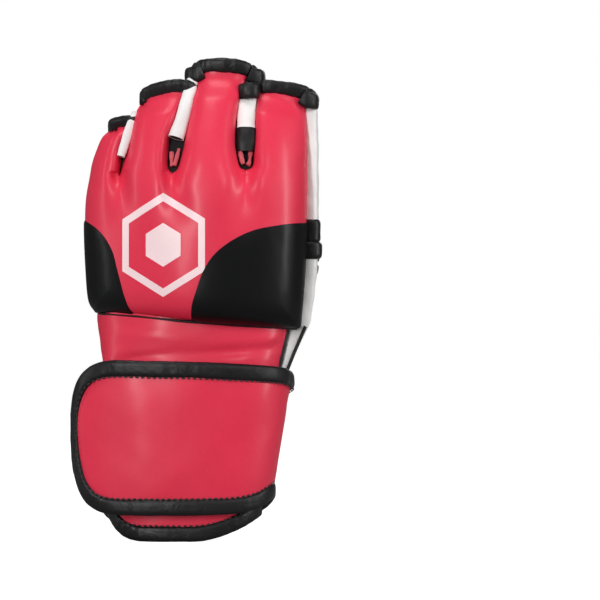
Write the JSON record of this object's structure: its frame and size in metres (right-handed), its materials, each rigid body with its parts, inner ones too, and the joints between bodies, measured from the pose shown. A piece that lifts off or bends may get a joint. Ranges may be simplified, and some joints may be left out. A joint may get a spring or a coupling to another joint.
{
  "type": "mma glove",
  "caption": "Open-palm grappling glove for the left hand with a padded back, split finger stalls, thumb loop and wrap-round wrist strap.",
  "frame": {"origin": "middle of the overall box's underside, level with the hem the glove stands on", "axes": "+Z along the fingers, from the cuff to the fingertips; -Y out of the back of the hand, +Y out of the palm; +X to the thumb side"},
  "size_m": [0.1281, 0.0704, 0.2443],
  "materials": {
    "red_leather": "semi-gloss",
    "black_leather": "gloss",
    "white_leather": "satin",
    "binding_tape": "satin",
    "lining_cloth": "matt",
    "foam": "matt",
    "hook_and_loop": "matt",
    "print": "satin"
  },
  "bodies": {
    "hand": {"hand_lining": "lining_cloth", "cuff_cover": "red_leather", "cuff_hem_binding": "binding_tape", "loop_patch": "hook_and_loop", "strap_anchor": "red_leather", "knuckle_foam": "foam", "back_cover": "red_leather", "thumb_side_inset": "black_leather", "little_side_inset": "black_leather", "emblem_patch": "print", "heel_piping": "binding_tape", "palm_panel": "white_leather", "grip_slot_binding": "binding_tape", "palm_edge_binding": "binding_tape", "side_gusset": "white_leather", "thumb_hole_binding": "binding_tape", "thumb_loop_band": "white_leather", "thumb_loop_upper_binding": "binding_tape", "thumb_loop_lower_binding": "binding_tape"},
    "strap_palm": {"strap_palm_panel": "red_leather", "strap_palm_bindings": "binding_tape"},
    "strap_back": {"strap_back_panel": "red_leather", "strap_back_binding": "binding_tape", "hook_patch": "hook_and_loop"},
    "little": {"little_cover": "red_leather", "little_foam": "foam", "little_sleeve": "white_leather", "little_rim": "binding_tape"},
    "ring": {"ring_cover": "red_leather", "ring_foam": "foam", "ring_sleeve": "white_leather", "ring_rim": "binding_tape"},
    "middle": {"middle_cover": "red_leather", "middle_foam": "foam", "middle_sleeve": "white_leather", "middle_rim": "binding_tape"},
    "index": {"index_cover": "red_leather", "index_foam": "foam", "index_sleeve": "white_leather", "index_rim": "binding_tape"}
  },
  "joints": [
    {"name": "strap_swing", "type": "hinge", "parent": "hand", "child": "strap_palm", "pos_m": [-0.05081, 0.00445, 0.051], "axis": [-0.0295, 0, 0.9996], "range_deg": [0, 30]},
    {"name": "strap_peel", "type": "hinge", "parent": "strap_palm", "child": "strap_back", "pos_m": [0.04069, 0.00445, 0.051], "axis": [0.1395, 0, 0.9902], "range_deg": [0, 130]},
    {"name": "little_flex", "type": "hinge", "parent": "hand", "child": "little", "pos_m": [-0.0399, 0.01755, 0.186], "axis": [-0.9613, 0.2756, 0], "range_deg": [0, 35], "stiffness_Nm_per_rad": 0.1},
    {"name": "ring_flex", "type": "hinge", "parent": "hand", "child": "ring", "pos_m": [-0.01831, 0.00484, 0.186], "axis": [-0.9848, 0.1736, 0], "range_deg": [0, 35], "stiffness_Nm_per_rad": 0.1},
    {"name": "middle_flex", "type": "hinge", "parent": "hand", "child": "middle", "pos_m": [0.00638, -0.0009, 0.186], "axis": [-0.9976, 0.0698, 0], "range_deg": [0, 35], "stiffness_Nm_per_rad": 0.1},
    {"name": "index_flex", "type": "hinge", "parent": "hand", "child": "index", "pos_m": [0.0318, 0.00293, 0.186], "axis": [-1, 0, 0], "range_deg": [0, 35], "stiffness_Nm_per_rad": 0.1}
  ],
  "couplings": [
    {"joint": "strap_swing", "follows": "strap_peel", "ratio": 0.2}
  ]
}
